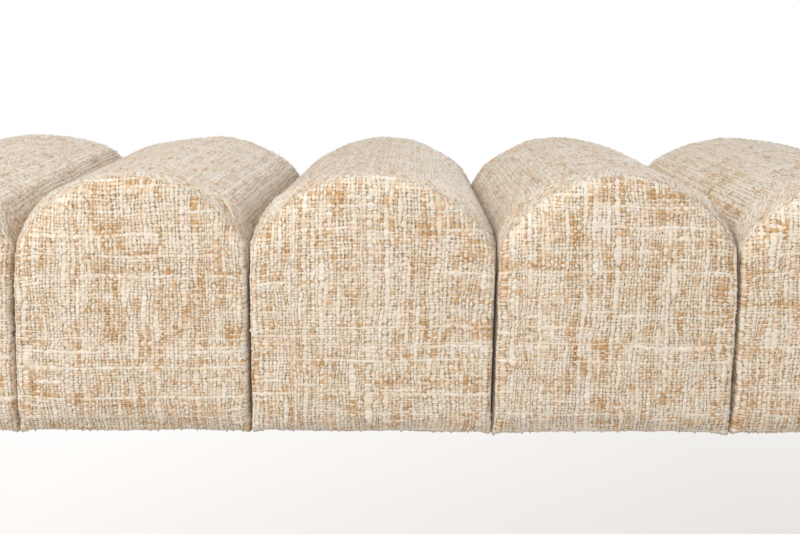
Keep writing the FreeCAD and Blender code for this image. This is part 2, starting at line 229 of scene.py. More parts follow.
def arch(share, inset):
    """Radii and centres of the arch of three arcs, drawn in by an inset."""
    shoulder = RISE * share
    shoulder_x = HALF - shoulder
    crown = (shoulder_x**2 + RISE**2 - shoulder**2) / (2.0 * (RISE - shoulder))
    crown_z = SEAT_TOP - crown
    tangent = np.arctan2(SPRING - crown_z, shoulder_x)
    return shoulder - inset, shoulder_x, crown - inset, crown_z, tangent


def arch_height(across, share, inset):
    """Height of the arch at distances from the module's middle."""
    shoulder, shoulder_x, crown, crown_z, tangent = arch(share, inset)
    reach = np.abs(across)
    past_shoulder = np.maximum(reach - shoulder_x, 0.0)
    on_crown = crown_z + np.sqrt(np.maximum(crown**2 - reach**2, 0.0))
    on_shoulder = SPRING + np.sqrt(np.maximum(shoulder**2 - past_shoulder**2, 0.0))
    return np.where(reach < crown * np.cos(tangent), on_crown, on_shoulder)


def station(y):
    """Shoulder share and inset of the barrel at a depth."""
    inside = np.clip(SEAM_Y - np.abs(y), 0.0, EDGE_ROUND) / EDGE_ROUND
    fullness = 1.0 - (1.0 - inside) ** 2
    return mix(SEAM_SHARE, BARREL_SHARE, fullness), SEAM_INSET * (1.0 - fullness)


def outline(share, inset):
    """An arched outline of the module as angles and radii about the panel's middle."""
    half = HALF - inset
    across = half * np.sin(np.linspace(-1.0, 1.0, 241) * math.pi / 2)
    top = arch_height(across, share, inset)
    upright = np.linspace(BODY_BOTTOM, SPRING, 121)
    bottom = half * np.linspace(-1.0, 1.0, 161)
    side = np.full_like(upright, half)
    x = np.concatenate([bottom, side, across[::-1], -side])
    z = np.concatenate([np.full_like(bottom, BODY_BOTTOM), upright, top[::-1], upright[::-1]])
    angle = np.arctan2(z - PANEL_MIDDLE, x)
    radius = np.hypot(x, z - PANEL_MIDDLE)
    order = np.argsort(angle)
    return angle[order], radius[order]


SEAM_OUTLINE = outline(SEAM_SHARE, SEAM_INSET)
BARREL_OUTLINE = outline(BARREL_SHARE, 0.0)


def panel_direction(x, z):
    """Direction of a place from the panel's middle, and how far the seam lies that way."""
    angle = np.arctan2(z - PANEL_MIDDLE, x)
    return angle, np.interp(angle, *SEAM_OUTLINE, period=2 * math.pi)


def panel_gauge(x, z):
    """Share of the way from the panel's middle to its seam, and the seam's distance, at a place."""
    seam = panel_direction(x, z)[1]
    return np.hypot(x, z - PANEL_MIDDLE) / seam, seam


def panel_swell(share, x, z):
    """How far the panel stands out from its seam: a slight crown, with rounded edges."""
    angle, seam = panel_direction(x, z)
    barrel = np.interp(angle, *BARREL_OUTLINE, period=2 * math.pi)
    shoulder = smooth_step(*SHOULDER_STEP, barrel - seam)
    over_top = smooth_step(*OVER_TOP, np.sin(angle))
    below = smooth_step(*UNDER_FOOT, -np.sin(angle))
    reach = SIDE_EDGE + (TOP_EDGE - SIDE_EDGE) * over_top
    reach = reach + SHOULDER_EXTRA * shoulder + (FOOT_EDGE - SIDE_EDGE) * below
    end = mix(EDGE_TURN, SHOULDER_TURN, shoulder)
    turned = end * np.clip(1.0 - (1.0 - share) * seam / reach, 0.0, 1.0)
    last = np.sqrt(1.0 - end**2)
    edge = (np.sqrt(1.0 - turned**2) - last) / (1.0 - last)
    return PANEL_CROWN * (1.0 - share**2) + PANEL_EDGE_DEPTH * edge


def settle(points, module):
    """Points of an upright module moved to their place in the row, as the soft modules lean and settle."""
    x, y, z = points[..., 0], points[..., 1], points[..., 2]
    depth = np.clip((y + SEAM_Y) / (2 * SEAM_Y), 0.0, 1.0)
    foot = np.clip((SPRING - z) / (SPRING - BODY_BOTTOM), 0.0, 1.0)

    def line_offset(line):
        front = FRONT_OFFSETS[line] + FOOT_OFFSETS[line] * foot
        return mix(front, BACK_OFFSETS[line], depth)

    across = np.clip((x + HALF) / (2 * HALF), 0.0, 1.0)
    shift = mix(line_offset(module), line_offset(module + 1), across)
    rise = mix(FRONT_RISES[module], BACK_RISES[module], depth)
    lift = np.clip((z - SPRING) / RISE, 0.0, 1.0) * rise
    sag = np.where(x < 0, VALLEY_SAGS[module], VALLEY_SAGS[module + 1]) * depth
    drop = VALLEY_DROP * smooth_step(HALF - VALLEY_DROP_WIDTH, HALF, np.abs(x))
    drop = drop + sag * smooth_step(HALF - VALLEY_SAG_WIDTH, HALF, np.abs(x))
    lift = lift - drop * smooth_step(SPRING - VALLEY_DEPTH, SPRING, z)
    centre = (module + 0.5 - MODULES / 2) * PITCH
    return np.stack([x + shift + centre, y, z + lift], axis=-1)


# Cloth: each module's cover is blown up once, as a coarse closed bag, and its swelling is kept as a field


def read_points(mesh):
    points = np.empty(len(mesh.vertices) * 3)
    mesh.vertices.foreach_get("co", points)
    return points.reshape(-1, 3)


def bag_shape(cube):
    """Points of a cube from -1 to 1 as the module's closed cover."""
    x = HALF * np.sin(cube[:, 0] * math.pi / 2)
    y = SEAM_Y * np.sin(cube[:, 1] * math.pi / 2)
    share, inset = station(y)
    x = x * (HALF - inset) / HALF
    z = mix(BODY_BOTTOM, arch_height(x, share, inset), (cube[:, 2] + 1.0) / 2)
    gauge = np.minimum(panel_gauge(x * BAG_SEAM_SHARE, z)[0], 1.0)
    on_panel = np.abs(cube[:, 1]) > BAG_FACE_SHARE
    y = np.where(on_panel, np.sign(cube[:, 1]) * (SEAM_Y + panel_swell(gauge, x, z)), y)
    return np.stack([x, y, z], axis=-1)


def uneven_start(rest, module):
    """The bag's points, a little uneven, so that no two modules swell alike."""
    noise = np.random.default_rng(BAG_SEED + module)
    waves = noise.normal(size=(BAG_WAVES, 3)) * np.array(BAG_WAVE_RATES)
    phases = noise.uniform(0, 2 * math.pi, BAG_WAVES)
    uneven = sum(np.sin(rest @ wave + phase) for wave, phase in zip(waves, phases)) * BAG_UNEVENNESS
    outward = rest - np.array([0.0, 0.0, PANEL_MIDDLE])
    outward /= np.linalg.norm(outward, axis=1, keepdims=True)
    return rest + outward * uneven[:, None] * (rest[:, 2:] > BODY_BOTTOM + 1.0)


def set_cloth(bag, held):
    """Pressure cloth that is held by one group of vertices."""
    cloth = bag.modifiers.new("swell", "CLOTH")
    settings = cloth.settings
    settings.quality = 5
    settings.mass = 0.3
    settings.tension_stiffness = 25.0
    settings.compression_stiffness = 25.0
    settings.shear_stiffness = 12.0
    settings.bending_stiffness = 3.0
    settings.use_pressure = True
    settings.uniform_pressure_force = SWELL_PRESSURE
    settings.vertex_group_mass = held.name
    settings.effector_weights.gravity = 0.0
    cloth.collision_settings.use_collision = False
    cloth.point_cache.frame_start = 1
    cloth.point_cache.frame_end = SWELL_STEPS


def blow_up(module):
    """Swells one coarse bag with the cloth simulation and returns its movement, in millimetres, by cells."""
    bm = bmesh.new()
    bmesh.ops.create_cube(bm, size=2.0)
    bmesh.ops.subdivide_edges(bm, edges=bm.edges[:], cuts=BAG_CELLS - 1, use_grid_fill=True)
    mesh = bpy.data.meshes.new("bag")
    bm.to_mesh(mesh)
    bm.free()
    cube = read_points(mesh)
    rest = bag_shape(cube)
    mesh.vertices.foreach_set("co", (uneven_start(rest, module) * MM).ravel())
    bag = bpy.data.objects.new("bag", mesh)
    bpy.context.scene.collection.objects.link(bag)
    held = bag.vertex_groups.new(name="held")
    held.add([int(i) for i in np.flatnonzero(cube[:, 2] < -BAG_FACE_SHARE)], 1.0, "REPLACE")
    set_cloth(bag, held)
    for step in range(1, SWELL_STEPS + 1):
        bpy.context.scene.frame_set(step)
    swollen = bag.evaluated_get(bpy.context.evaluated_depsgraph_get())
    moved = read_points(swollen.data) / MM - rest
    bpy.data.objects.remove(bag)
    bpy.data.meshes.remove(mesh)
    cells = np.rint((cube + 1.0) / 2 * BAG_CELLS).astype(int)
    return cells, moved


def swelling(module):
    """The bag's capped movement as a grid on each face: front, back, left, right and top."""
    cells, moved = blow_up(module)
    length = np.linalg.norm(moved, axis=1, keepdims=True)
    moved = moved * SWELL_CAP / (SWELL_CAP + length)
    faces = {}
    for name, axis, end, first, second in (
        ("front", 1, 0, 0, 2),
        ("back", 1, BAG_CELLS, 0, 2),
        ("left", 0, 0, 1, 2),
        ("right", 0, BAG_CELLS, 1, 2),
        ("top", 2, BAG_CELLS, 0, 1),
    ):
        on_face = cells[:, axis] == end
        grid = np.zeros((BAG_CELLS + 1, BAG_CELLS + 1, 3))
        grid[cells[on_face, first], cells[on_face, second]] = moved[on_face]
        faces[name] = grid
    return faces


def taps(place):
    """The four cells around a place from -1 to 1, with the weights of a smooth cubic."""
    at = np.clip((place + 1.0) / 2 * BAG_CELLS, 0.0, BAG_CELLS - 1e-6)
    cell = at.astype(int)
    t = at - cell
    weights = (
        (-t + 2 * t**2 - t**3) / 2,
        (2 - 5 * t**2 + 3 * t**3) / 2,
        (t + 4 * t**2 - 3 * t**3) / 2,
        (-(t**2) + t**3) / 2,
    )
    return [(np.clip(cell + k - 1, 0, BAG_CELLS), weight) for k, weight in enumerate(weights)]


def sample(grid, first, second):
    """Smooth value of a face's grid at places from -1 to 1 along both of its sides."""
    total = 0.0
    second_taps = taps(second)
    for i, wi in taps(first):
        for j, wj in second_taps:
            total = total + grid[i, j] * (wi * wj)[..., None]
    return total


def bag_place(place, reach):
    """A distance from the middle as a place from -1 to 1 on the bag, whose cells are narrow at its edges."""
    return 2 / math.pi * np.arcsin(np.clip(place / reach, -1.0, 1.0))


def hold_sides(moved, distance, z):
    """Keeps the upright seams in line, so that neighbouring modules meet along them."""
    beside = 1.0 - smooth_step(*HELD_HEIGHTS, z)
    moved[..., 0] *= 1.0 - beside * np.exp(-((distance / HELD_WIDTH) ** 2))


# Weave


def yarn_lines(low, high, pitch, noise):
    """Places of the yarns' edges and middles between two limits, with uneven yarns."""
    count = round((high - low) / pitch)
    widths = np.exp(noise.normal(0.0, YARN_UNEVENNESS, count))
    edges = np.concatenate([[0.0], np.cumsum(widths)])
    edges = low + edges / edges[-1] * (high - low)
    lines = np.empty(2 * count + 1)
    lines[0::2] = edges
    lines[1::2] = (edges[1:] + edges[:-1]) / 2
    return lines


def wander(along, yarn, seed):
    """How far a yarn strays from its straight line."""
    noise = np.random.default_rng(seed)
    total = np.zeros(np.broadcast(along, yarn).shape)
    for length, spread, size in STRAYINGS:
        for _ in range(STRAY_WAVES):
            phase, tilt = noise.uniform(0, 2 * math.pi, 2)
            turns = along / length + np.cos(tilt) * yarn / spread
            total = total + size * np.sin(2 * math.pi * turns + phase) / STRAY_EVENING
    return total


def slubs(noise, along, across, kind):
    """Thick stretches of yarn: which yarn, where along it, how long and how thick."""
    count, lengths, thicknesses = kind
    return [
        (
            int(noise.integers(2, across - 2)),
            noise.uniform(0.0, along),
            noise.uniform(*lengths),
            noise.uniform(*thicknesses),
        )
        for _ in range(count)
    ]


def thicken(along, across, pitch, events):
    """Shift of the yarns beside thick stretches, and a mask of those stretches."""
    shift = np.zeros(np.broadcast(along, across).shape)
    mask = np.zeros_like(shift)
    for yarn, middle, length, extra in events:
        window = 1.0 / (1.0 + (np.abs(along - middle) / (length / 2)) ** SLUB_SQUARENESS)
        above = np.where(across >= yarn + 1, np.exp(-(across - yarn - 1) / SLUB_SPREAD), 0.0)
        below = np.where(across <= yarn, np.exp(-(yarn - across) / SLUB_SPREAD), 0.0)
        shift += window * extra * pitch / 2 * (above - below)
        out_of_warm_painted_shade = np.clip(SLUB_SHARPNESS - SLUB_SHARPNESS * np.abs(across - yarn - 0.5), 0.0, 1.0)
        mask = np.maximum(mask, window * out_of_warm_painted_shade)
    return shift, mask


def weave_relief(u, v, slub, noise, along_warp, along_pick):
    """Height of the plain weave over its ground, about 1 at most crossings, at yarn places u and v."""
    i, j = np.floor(u + 1e-6).astype(int), np.floor(v + 1e-6).astype(int)
    at_middle_u, at_middle_v = (u - i) > 0.25, (v - j) > 0.25
    nub = noise.normal(1.0, NUB_SPREAD, (i.max() + 2, j.max() + 2)).clip(*NUB_LIMITS)[i, j]
    height = np.where(at_middle_u & at_middle_v, nub, 0.0)
    warp_over = (i + j) % 2 == 0
    height = np.where(at_middle_u & ~at_middle_v, along_warp, height)
    height = np.where(~at_middle_u & at_middle_v, along_pick, height)
    height = np.where(at_middle_u & at_middle_v & ~warp_over, nub * mix(along_pick, 1.0, UNDER_SHARE), height)
    return height + SLUB_RELIEF * slub


def new_sheet(name, columns, rows):
    """A flat grid and the column and row of each of its vertices."""
    bm = bmesh.new()
    bmesh.ops.create_grid(bm, x_segments=columns - 1, y_segments=rows - 1, size=1.0)
    mesh = bpy.data.meshes.new(name)
    bm.to_mesh(mesh)
    bm.free()
    flat = read_points(mesh)
    column = np.rint((flat[:, 0] + 1.0) / 2 * (columns - 1)).astype(int)
    row = np.rint((flat[:, 1] + 1.0) / 2 * (rows - 1)).astype(int)
    return mesh, column, row


def surface_normals(points):
    return unit(np.cross(np.gradient(points, axis=0), np.gradient(points, axis=1)))


def finish_sheet(mesh, column, row, points, u, v, slub):
    """Puts the worked-out places, yarn coordinates and slubs on a sheet."""
    mesh.vertices.foreach_set("co", (points[column, row] * MM).ravel())
    corners = np.empty(len(mesh.loops), dtype=int)
    mesh.loops.foreach_get("vertex_index", corners)
    yarns = np.stack([u[column, row], v[column, row]], axis=-1)
    mesh.uv_layers.new(name="yarns").data.foreach_set("uv", yarns[corners].ravel())
    mesh.attributes.new("slub", "FLOAT", "POINT").data.foreach_set("value", slub[column, row])
    mesh.shade_smooth()
    mesh.update()


def drop_faces(mesh, loose):
    """Deletes the faces whose corners are all loose."""
    bm = bmesh.new()
    bm.from_mesh(mesh)
    outside = [face for face in bm.faces if all(loose[vert.index] for vert in face.verts)]
    bmesh.ops.delete(bm, geom=outside, context="FACES")
    bm.to_mesh(mesh)
    bm.free()


def seam_plunge(distance):
    return SEAM_PLUNGE * np.exp(-((distance / SEAM_PLUNGE_WIDTH) ** 2)) / math.sqrt(2)


def add_piece(mesh, material, stands_for):
    piece = bpy.data.objects.new(mesh.name, mesh)
    bpy.context.scene.collection.objects.link(piece)
    mesh.materials.append(material)
    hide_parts(*stands_for)
    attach(piece, "root")
    return piece


# Lower edges


def close_foot(x, z, inset):
    """Widens the lower edge of a cover so that neighbouring modules touch there."""
    low = 1.0 - smooth_step(0.0, FOOT_CLOSE_HEIGHT, z - BODY_BOTTOM)
    return x * (1.0 + (inset - FOOT_GAP) / (HALF - inset) * low)


def foot_corner(x, module):
    """How far the lower corners of a cover hang down where they meet the next module."""
    outer = (x < 0) * (module == 0) + (x > 0) * (module == MODULES - 1)
    return CORNER_HANG * smooth_step(HALF - CORNER_WIDTH, HALF - 1.0, np.abs(x)) * (1.0 - outer)


# Panels


def panel_place(x, z):
    """Flat cloth laid on a panel, tucked in past the seam and turned under past the foot."""
    under = np.maximum(BODY_BOTTOM - z, 0.0)
    z = np.maximum(z, BODY_BOTTOM)
    gauge, seam = panel_gauge(x, z)
    past = np.where(under > 0.0, 0.0, np.maximum(gauge - 1.0, 0.0) * seam)
    held = np.minimum(gauge, 1.0)
    x, z = x * held / gauge, PANEL_MIDDLE + (z - PANEL_MIDDLE) * held / gauge
    return x, z, held, (1.0 - held) * seam, past, under


def panel_movement(field, x, z, distance, beside):
    """The bag's movement on a panel, evened out beside the grooves."""
    across = bag_place(x, HALF - SEAM_INSET)
    top = arch_height(x, *station(np.full_like(x, -SEAM_Y)))
    up = 2 * (z - BODY_BOTTOM) / (top - BODY_BOTTOM) - 1
    moved = sample(field, across, up)
    level = sample(field, np.clip(across, -LEVEL_SHARE, LEVEL_SHARE), up)[..., 1]
    moved[..., 1] = mix(moved[..., 1], level, beside * smooth_step(*LEVEL_WIDTHS, distance))
    hold_sides(moved, distance, z)
    return moved


def ragged_edge(x, v, module, distance, beside):
    """Uneven yarn ends along the upright edges of a panel."""
    ragged = RAGGED_MEAN + RAGGED_SPREAD * wander(RAGGED_RATE * v, 0.0, module + RAGGED_SEED)
    ragged = np.clip(ragged, *RAGGED_LIMITS)
    out_of_warm_painted_shade = np.minimum(distance / RAGGED_START, 1.0) * np.exp(-distance / RAGGED_REACH)
    return np.sign(x) * ragged * beside * out_of_warm_painted_shade


def panel(module, face, swell, material):
    """The woven front or back panel of a module, sewn to the band and turned under at its lower edge."""
    side = "front" if face < 0 else "back"
    noise = np.random.default_rng(PANEL_SEED + 10 * module + (0 if face < 0 else 5))
    reach = HALF - SEAM_INSET + SEAM_ALLOWANCE
    x_lines = yarn_lines(-reach, reach, WARP_PITCH, noise)
    z_lines = yarn_lines(BODY_BOTTOM - HEM_RETURN, SEAT_TOP + SEAM_ALLOWANCE, PICK_PITCH, noise)
    u, v = np.meshgrid(np.arange(len(x_lines)) / 2, np.arange(len(z_lines)) / 2, indexing="ij")
    warps, picks = int(u.max()), int(v.max())
    thick_picks = slubs(noise, warps, picks, PANEL_PICK_SLUBS) + slubs(noise, warps, picks, PANEL_THICK_SLUBS)
    pick_shift, pick_slub = thicken(u, v, PICK_PITCH, thick_picks)
    warp_shift, warp_slub = thicken(v, u, WARP_PITCH, slubs(noise, picks, warps, PANEL_WARP_SLUBS))
    flat_x, flat_z = np.broadcast_arrays(x_lines[:, None], z_lines[None, :])
    inner = smooth_step(0.0, STRAIGHT_HEIGHT, flat_z - BODY_BOTTOM)
    x, z, held, distance, past, under = panel_place(
        flat_x + inner * (warp_shift + wander(v, u, module)),
        flat_z + inner * (pick_shift + wander(u, v, module + PANEL_PICK_SEED)),
    )
    y = -SEAM_Y - panel_swell(held, x, z)
    x = close_foot(x, z, SEAM_INSET)
    angle = np.arctan2(z - PANEL_MIDDLE, x)
    beside = 1.0 - smooth_step(*OVER_TOP, np.sin(angle))
    moved = panel_movement(swell[side], x, z, distance, beside)
    moved[..., 1] *= -face
    points = np.stack([x, y, z], axis=-1) + moved
    normals = -surface_normals(points)
    normals *= np.sign(-normals[..., 1:2])
    sewn = smooth_step(BODY_BOTTOM, BODY_BOTTOM + SEWN_HEIGHT, z)
    relief = weave_relief(u, v, np.maximum(warp_slub, pick_slub), noise, *PANEL_WEAVE) * YARN_RELIEF
    relief = relief * (1.0 + FOOT_RELIEF * (1.0 - smooth_step(*FOOT_RELIEF_HEIGHTS, z - BODY_BOTTOM)))
    fade = smooth_step(0.0, mix(SEAM_FADE, SIDE_SEAM_FADE, beside), distance)
    points = points + normals * (relief * mix(1.0, fade, sewn))[..., None]
    out = unit(np.stack([x, np.zeros_like(x), z - PANEL_MIDDLE], axis=-1))
    pull = (seam_plunge(distance) * sewn)[..., None]
    points = points - out * pull + np.array([0.0, 1.0, 0.0]) * pull
    points[..., 0] -= ragged_edge(x, v, module, distance, beside)
    pucker = PUCKER * np.sin(angle * PANEL_PUCKERS + PUCKER_TURN * module)
    pucker = pucker * np.exp(-distance / PUCKER_REACH) * sewn
    points[..., 1] += pucker * smooth_step(0.0, PUCKER_START, distance) + under + np.minimum(past, SEAM_TUCK)
    hang = FOOT_HANG + FOOT_UNEVENNESS * wander(u, 0.0, module + FOOT_SEED) + foot_corner(x, module)
    hang = hang * (1.0 - smooth_step(0.0, FOOT_HANG_HEIGHT, z - BODY_BOTTOM))
    points[..., 2] -= hang - PANEL_HEM_SLOPE * under
    points[..., 1] *= -face
    points = settle(points, module)
    mesh, column, row = new_sheet(f"{side}_panel_cover_{module + 1}", len(x_lines), len(z_lines))
    v_start = 0 if face < 0 else BACK_YARNS
    finish_sheet(mesh, column, row, points, u + MODULE_YARNS * module, v + v_start, pick_slub - warp_slub)
    drop_faces(mesh, past[column, row] > SEAM_TRIM)
    if face > 0:
        mesh.flip_normals()
    return add_piece(mesh, material, [f"{side}_panel_{module + 1}"])


# Bands


def soft_limit(value, limit):
    """Eases a value into a limit on both sides."""
    straight = limit - SIDE_EASE
    over = np.maximum(np.abs(value) - straight, 0.0)
    return np.sign(value) * (np.minimum(np.abs(value), straight) + SIDE_EASE * np.tanh(over / SIDE_EASE))


def band_columns(module, noise):
    """Yarn numbers and places along the band's profile from hem to hem, close together where seen."""
    shoulder, _, crown, _, tangent = (float(value) for value in arch(np.array(BARREL_SHARE), np.array(0.0)))
    side = HEM_RETURN + HEM_ROUND * math.pi / 2 + SPRING - BODY_BOTTOM - HEM_ROUND
    lengths = [side, shoulder * tangent, crown * (math.pi - 2 * tangent), shoulder * tangent, side]
    total = sum(lengths)
    lines = yarn_lines(0.0, total, WARP_PITCH, noise)
    numbers = np.arange(len(lines)) / 2
    hidden_left = (lines < side - HIDDEN_DEPTH) & (module > 0)
    hidden_right = (lines > total - side + HIDDEN_DEPTH) & (module < MODULES - 1)
    coarse = (hidden_left | hidden_right) & (np.arange(len(lines)) % HIDDEN_STEP != 0)
    coarse[0] = coarse[-1] = False
    return numbers[~coarse], lines[~coarse], lengths, (hidden_left | hidden_right)[~coarse]


def band_profile(place, y, lengths):
    """Points of the band at places along its profile and at depths, and the stretch each is on."""
    share, inset = station(y)
    shoulder, shoulder_x, crown, crown_z, tangent = arch(share, inset)
    half = HALF - inset
    bounds = np.cumsum([0.0] + lengths)
    segment = np.clip(np.searchsorted(bounds, place, side="right") - 1, 0, 4)
    share_along = (place - bounds[segment]) / np.array(lengths)[segment]
    mirrored = segment >= 3
    fold = np.where(mirrored, 4 - segment, segment)
    along = np.where(mirrored, 1.0 - share_along, share_along)
    path = along * lengths[0]
    turn = np.clip((path - HEM_RETURN) / HEM_ROUND, 0.0, math.pi / 2)
    flat = np.maximum(HEM_RETURN - path, 0.0)
    rise = np.maximum(path - HEM_RETURN - HEM_ROUND * math.pi / 2, 0.0)
    side_x = -half + HEM_ROUND * (1.0 - np.sin(turn)) + flat
    side_z = BODY_BOTTOM + HEM_ROUND * (1.0 - np.cos(turn)) + rise
    angle_shoulder = math.pi - along * tangent
    shoulder_place_x = -shoulder_x + shoulder * np.cos(angle_shoulder)
    shoulder_place_z = SPRING + shoulder * np.sin(angle_shoulder)
    angle_crown = math.pi - tangent - along * (math.pi - 2 * tangent)
    crown_place_x, crown_place_z = crown * np.cos(angle_crown), crown_z + crown * np.sin(angle_crown)
    x = np.where(fold == 0, side_x, np.where(fold == 1, shoulder_place_x, crown_place_x))
    z = np.where(fold == 0, side_z, np.where(fold == 1, shoulder_place_z, crown_place_z))
    return np.where(mirrored, -x, x), z, segment


def band_depths(along, places, lengths):
    """Depths and seam distances of lengths of cloth from the front seam, laid evenly over the edges."""
    seam_x, seam_z, _ = band_profile(places, np.full_like(places, SEAM_Y), lengths)
    full_x, full_z, _ = band_profile(places, np.zeros_like(places), lengths)
    inside = np.linspace(0.0, 1.0, 41)
    inward = EDGE_ROUND * inside
    fullness = 1.0 - (1.0 - inside) ** 2
    depths, distances = np.empty_like(along), np.empty_like(along)
    for k, lift in enumerate(np.hypot(full_x - seam_x, full_z - seam_z)):
        steps = np.hypot(np.diff(inward), lift * np.diff(fullness))
        path = np.concatenate([[0.0], np.cumsum(steps)])
        total = 2 * (path[-1] + SEAM_Y - EDGE_ROUND)
        cloth = np.clip(along[k] * total / (2 * SEAM_Y), 0.0, total)
        distances[k] = np.minimum(cloth, total - cloth)
        beyond = EDGE_ROUND + distances[k] - path[-1]
        inset = np.where(distances[k] < path[-1], np.interp(distances[k], path, inward), beyond)
        depths[k] = np.where(cloth < total / 2, inset - SEAM_Y, SEAM_Y - inset)
    return depths, distances


def band_movement(swell, x, y, z, segment, distance):
    """The bag's movement on a band: its side faces beside the arch, its top face over it."""
    deep = bag_place(y, SEAM_Y)
    up = 2 * (z - BODY_BOTTOM) / (SPRING - BODY_BOTTOM) - 1
    on_top = sample(swell["top"], bag_place(x, HALF), deep)
    left, right = sample(swell["left"], deep, up), sample(swell["right"], deep, up)
    on_side = np.where((x < 0)[..., None], left, right)
    moved = np.where(((segment == 0) | (segment == 4))[..., None], on_side, on_top)
    hold_sides(moved, distance, z)
    return moved


def band(module, swell, material):
    """The woven band over the arch and down the sides of a module, turned under at its hems."""
    noise = np.random.default_rng(BAND_SEED + module)
    numbers, places, lengths, hidden = band_columns(module, noise)
    y_lines = yarn_lines(-SEAM_Y, SEAM_Y, PICK_PITCH, noise)
    u, v = np.meshgrid(numbers, np.arange(len(y_lines)) / 2, indexing="ij")
    warps, picks = int(u.max()), int(v.max())
    pick_shift, pick_slub = thicken(u, v, PICK_PITCH, slubs(noise, warps, picks, BAND_PICK_SLUBS))
    warp_shift, warp_slub = thicken(v, u, WARP_PITCH, slubs(noise, picks, warps, BAND_WARP_SLUBS))
    open_ends = smooth_step(0.0, BAND_END_WIDTH, SEAM_Y - np.abs(y_lines))[None, :]
    pick_shift = pick_shift + BAND_PICK_STRAY * wander(u, v, module + BAND_PICK_SEED)
    along = SEAM_Y + y_lines[None, :] + pick_shift * open_ends
    y, distance = band_depths(along, places, lengths)
    seen = 1.0 - hidden[:, None] * 1.0
    warp_shift = warp_shift + BAND_WARP_STRAY * wander(v, u, module + BAND_WARP_SEED)
    place = np.clip(places[:, None] + warp_shift * seen, 0.0, sum(lengths))
    x, z, segment = band_profile(place, y, lengths)
    x = close_foot(x, z, station(y)[1])
    points = np.stack([x, y, z], axis=-1) + band_movement(swell, x, y, z, segment, distance)
    points[..., 0] = soft_limit(points[..., 0], HALF + SIDE_LIMIT)
    normals = surface_normals(points)
    hem = smooth_step(*HEM_HEIGHTS, z - BODY_BOTTOM)
    relief = weave_relief(u, v, np.maximum(warp_slub, pick_slub), noise, *BAND_WEAVE) * BAND_RELIEF
    relief = relief * smooth_step(0.0, SEAM_FADE, distance) * hem * seen
    points = points + normals * relief[..., None]
    pull = (seam_plunge(distance) * hem)[..., None]
    radial = unit(normals * np.array([1.0, 0.0, 1.0]))
    points = points - radial * pull - np.sign(y)[..., None] * np.array([0.0, 1.0, 0.0]) * pull
    pucker = PUCKER * np.sin(place / BAND_PUCKER_LENGTH + PUCKER_TURN * module)
    pucker = pucker * np.exp(-distance / PUCKER_REACH) * smooth_step(0.0, PUCKER_START, distance)
    points[..., 2] += pucker * hem
    tucked = np.maximum(HALF - HEM_EDGE - np.abs(x), 0.0) * (z < BODY_BOTTOM + HEM_FLAT)
    hang = FOOT_HANG + foot_corner(x, module)
    hang = hang * (1.0 - smooth_step(0.0, FOOT_HANG_HEIGHT, z - BODY_BOTTOM))
    points[..., 2] -= hang - BAND_HEM_SLOPE * tucked
    limit = HALF + SEEN_PLAY * seen
    left_limit = limit + (module == 0) * END_PLAY
    right_limit = limit + (module == MODULES - 1) * END_PLAY
    points[..., 0] = np.clip(points[..., 0], -left_limit, right_limit)
    points = settle(points, module)
    mesh, column, row = new_sheet(f"top_band_cover_{module + 1}", len(places), len(y_lines))
    finish_sheet(mesh, column, row, points, u + MODULE_YARNS * module, v + BAND_YARNS, pick_slub - warp_slub)
    inner = [f"{layer}_{module + 1}" for layer in ("wadding_wrap", "foam_block")]
    return add_piece(mesh, material, [f"top_band_{module + 1}"] + inner)


# Materials


def new_material(name):
    """A new material, short ways to its nodes, and its shader."""
    material = bpy.data.materials.new(name)
    material.use_nodes = True
    n = Nodes(material.node_tree)
    return material, n, n.nodes["Principled BSDF"]


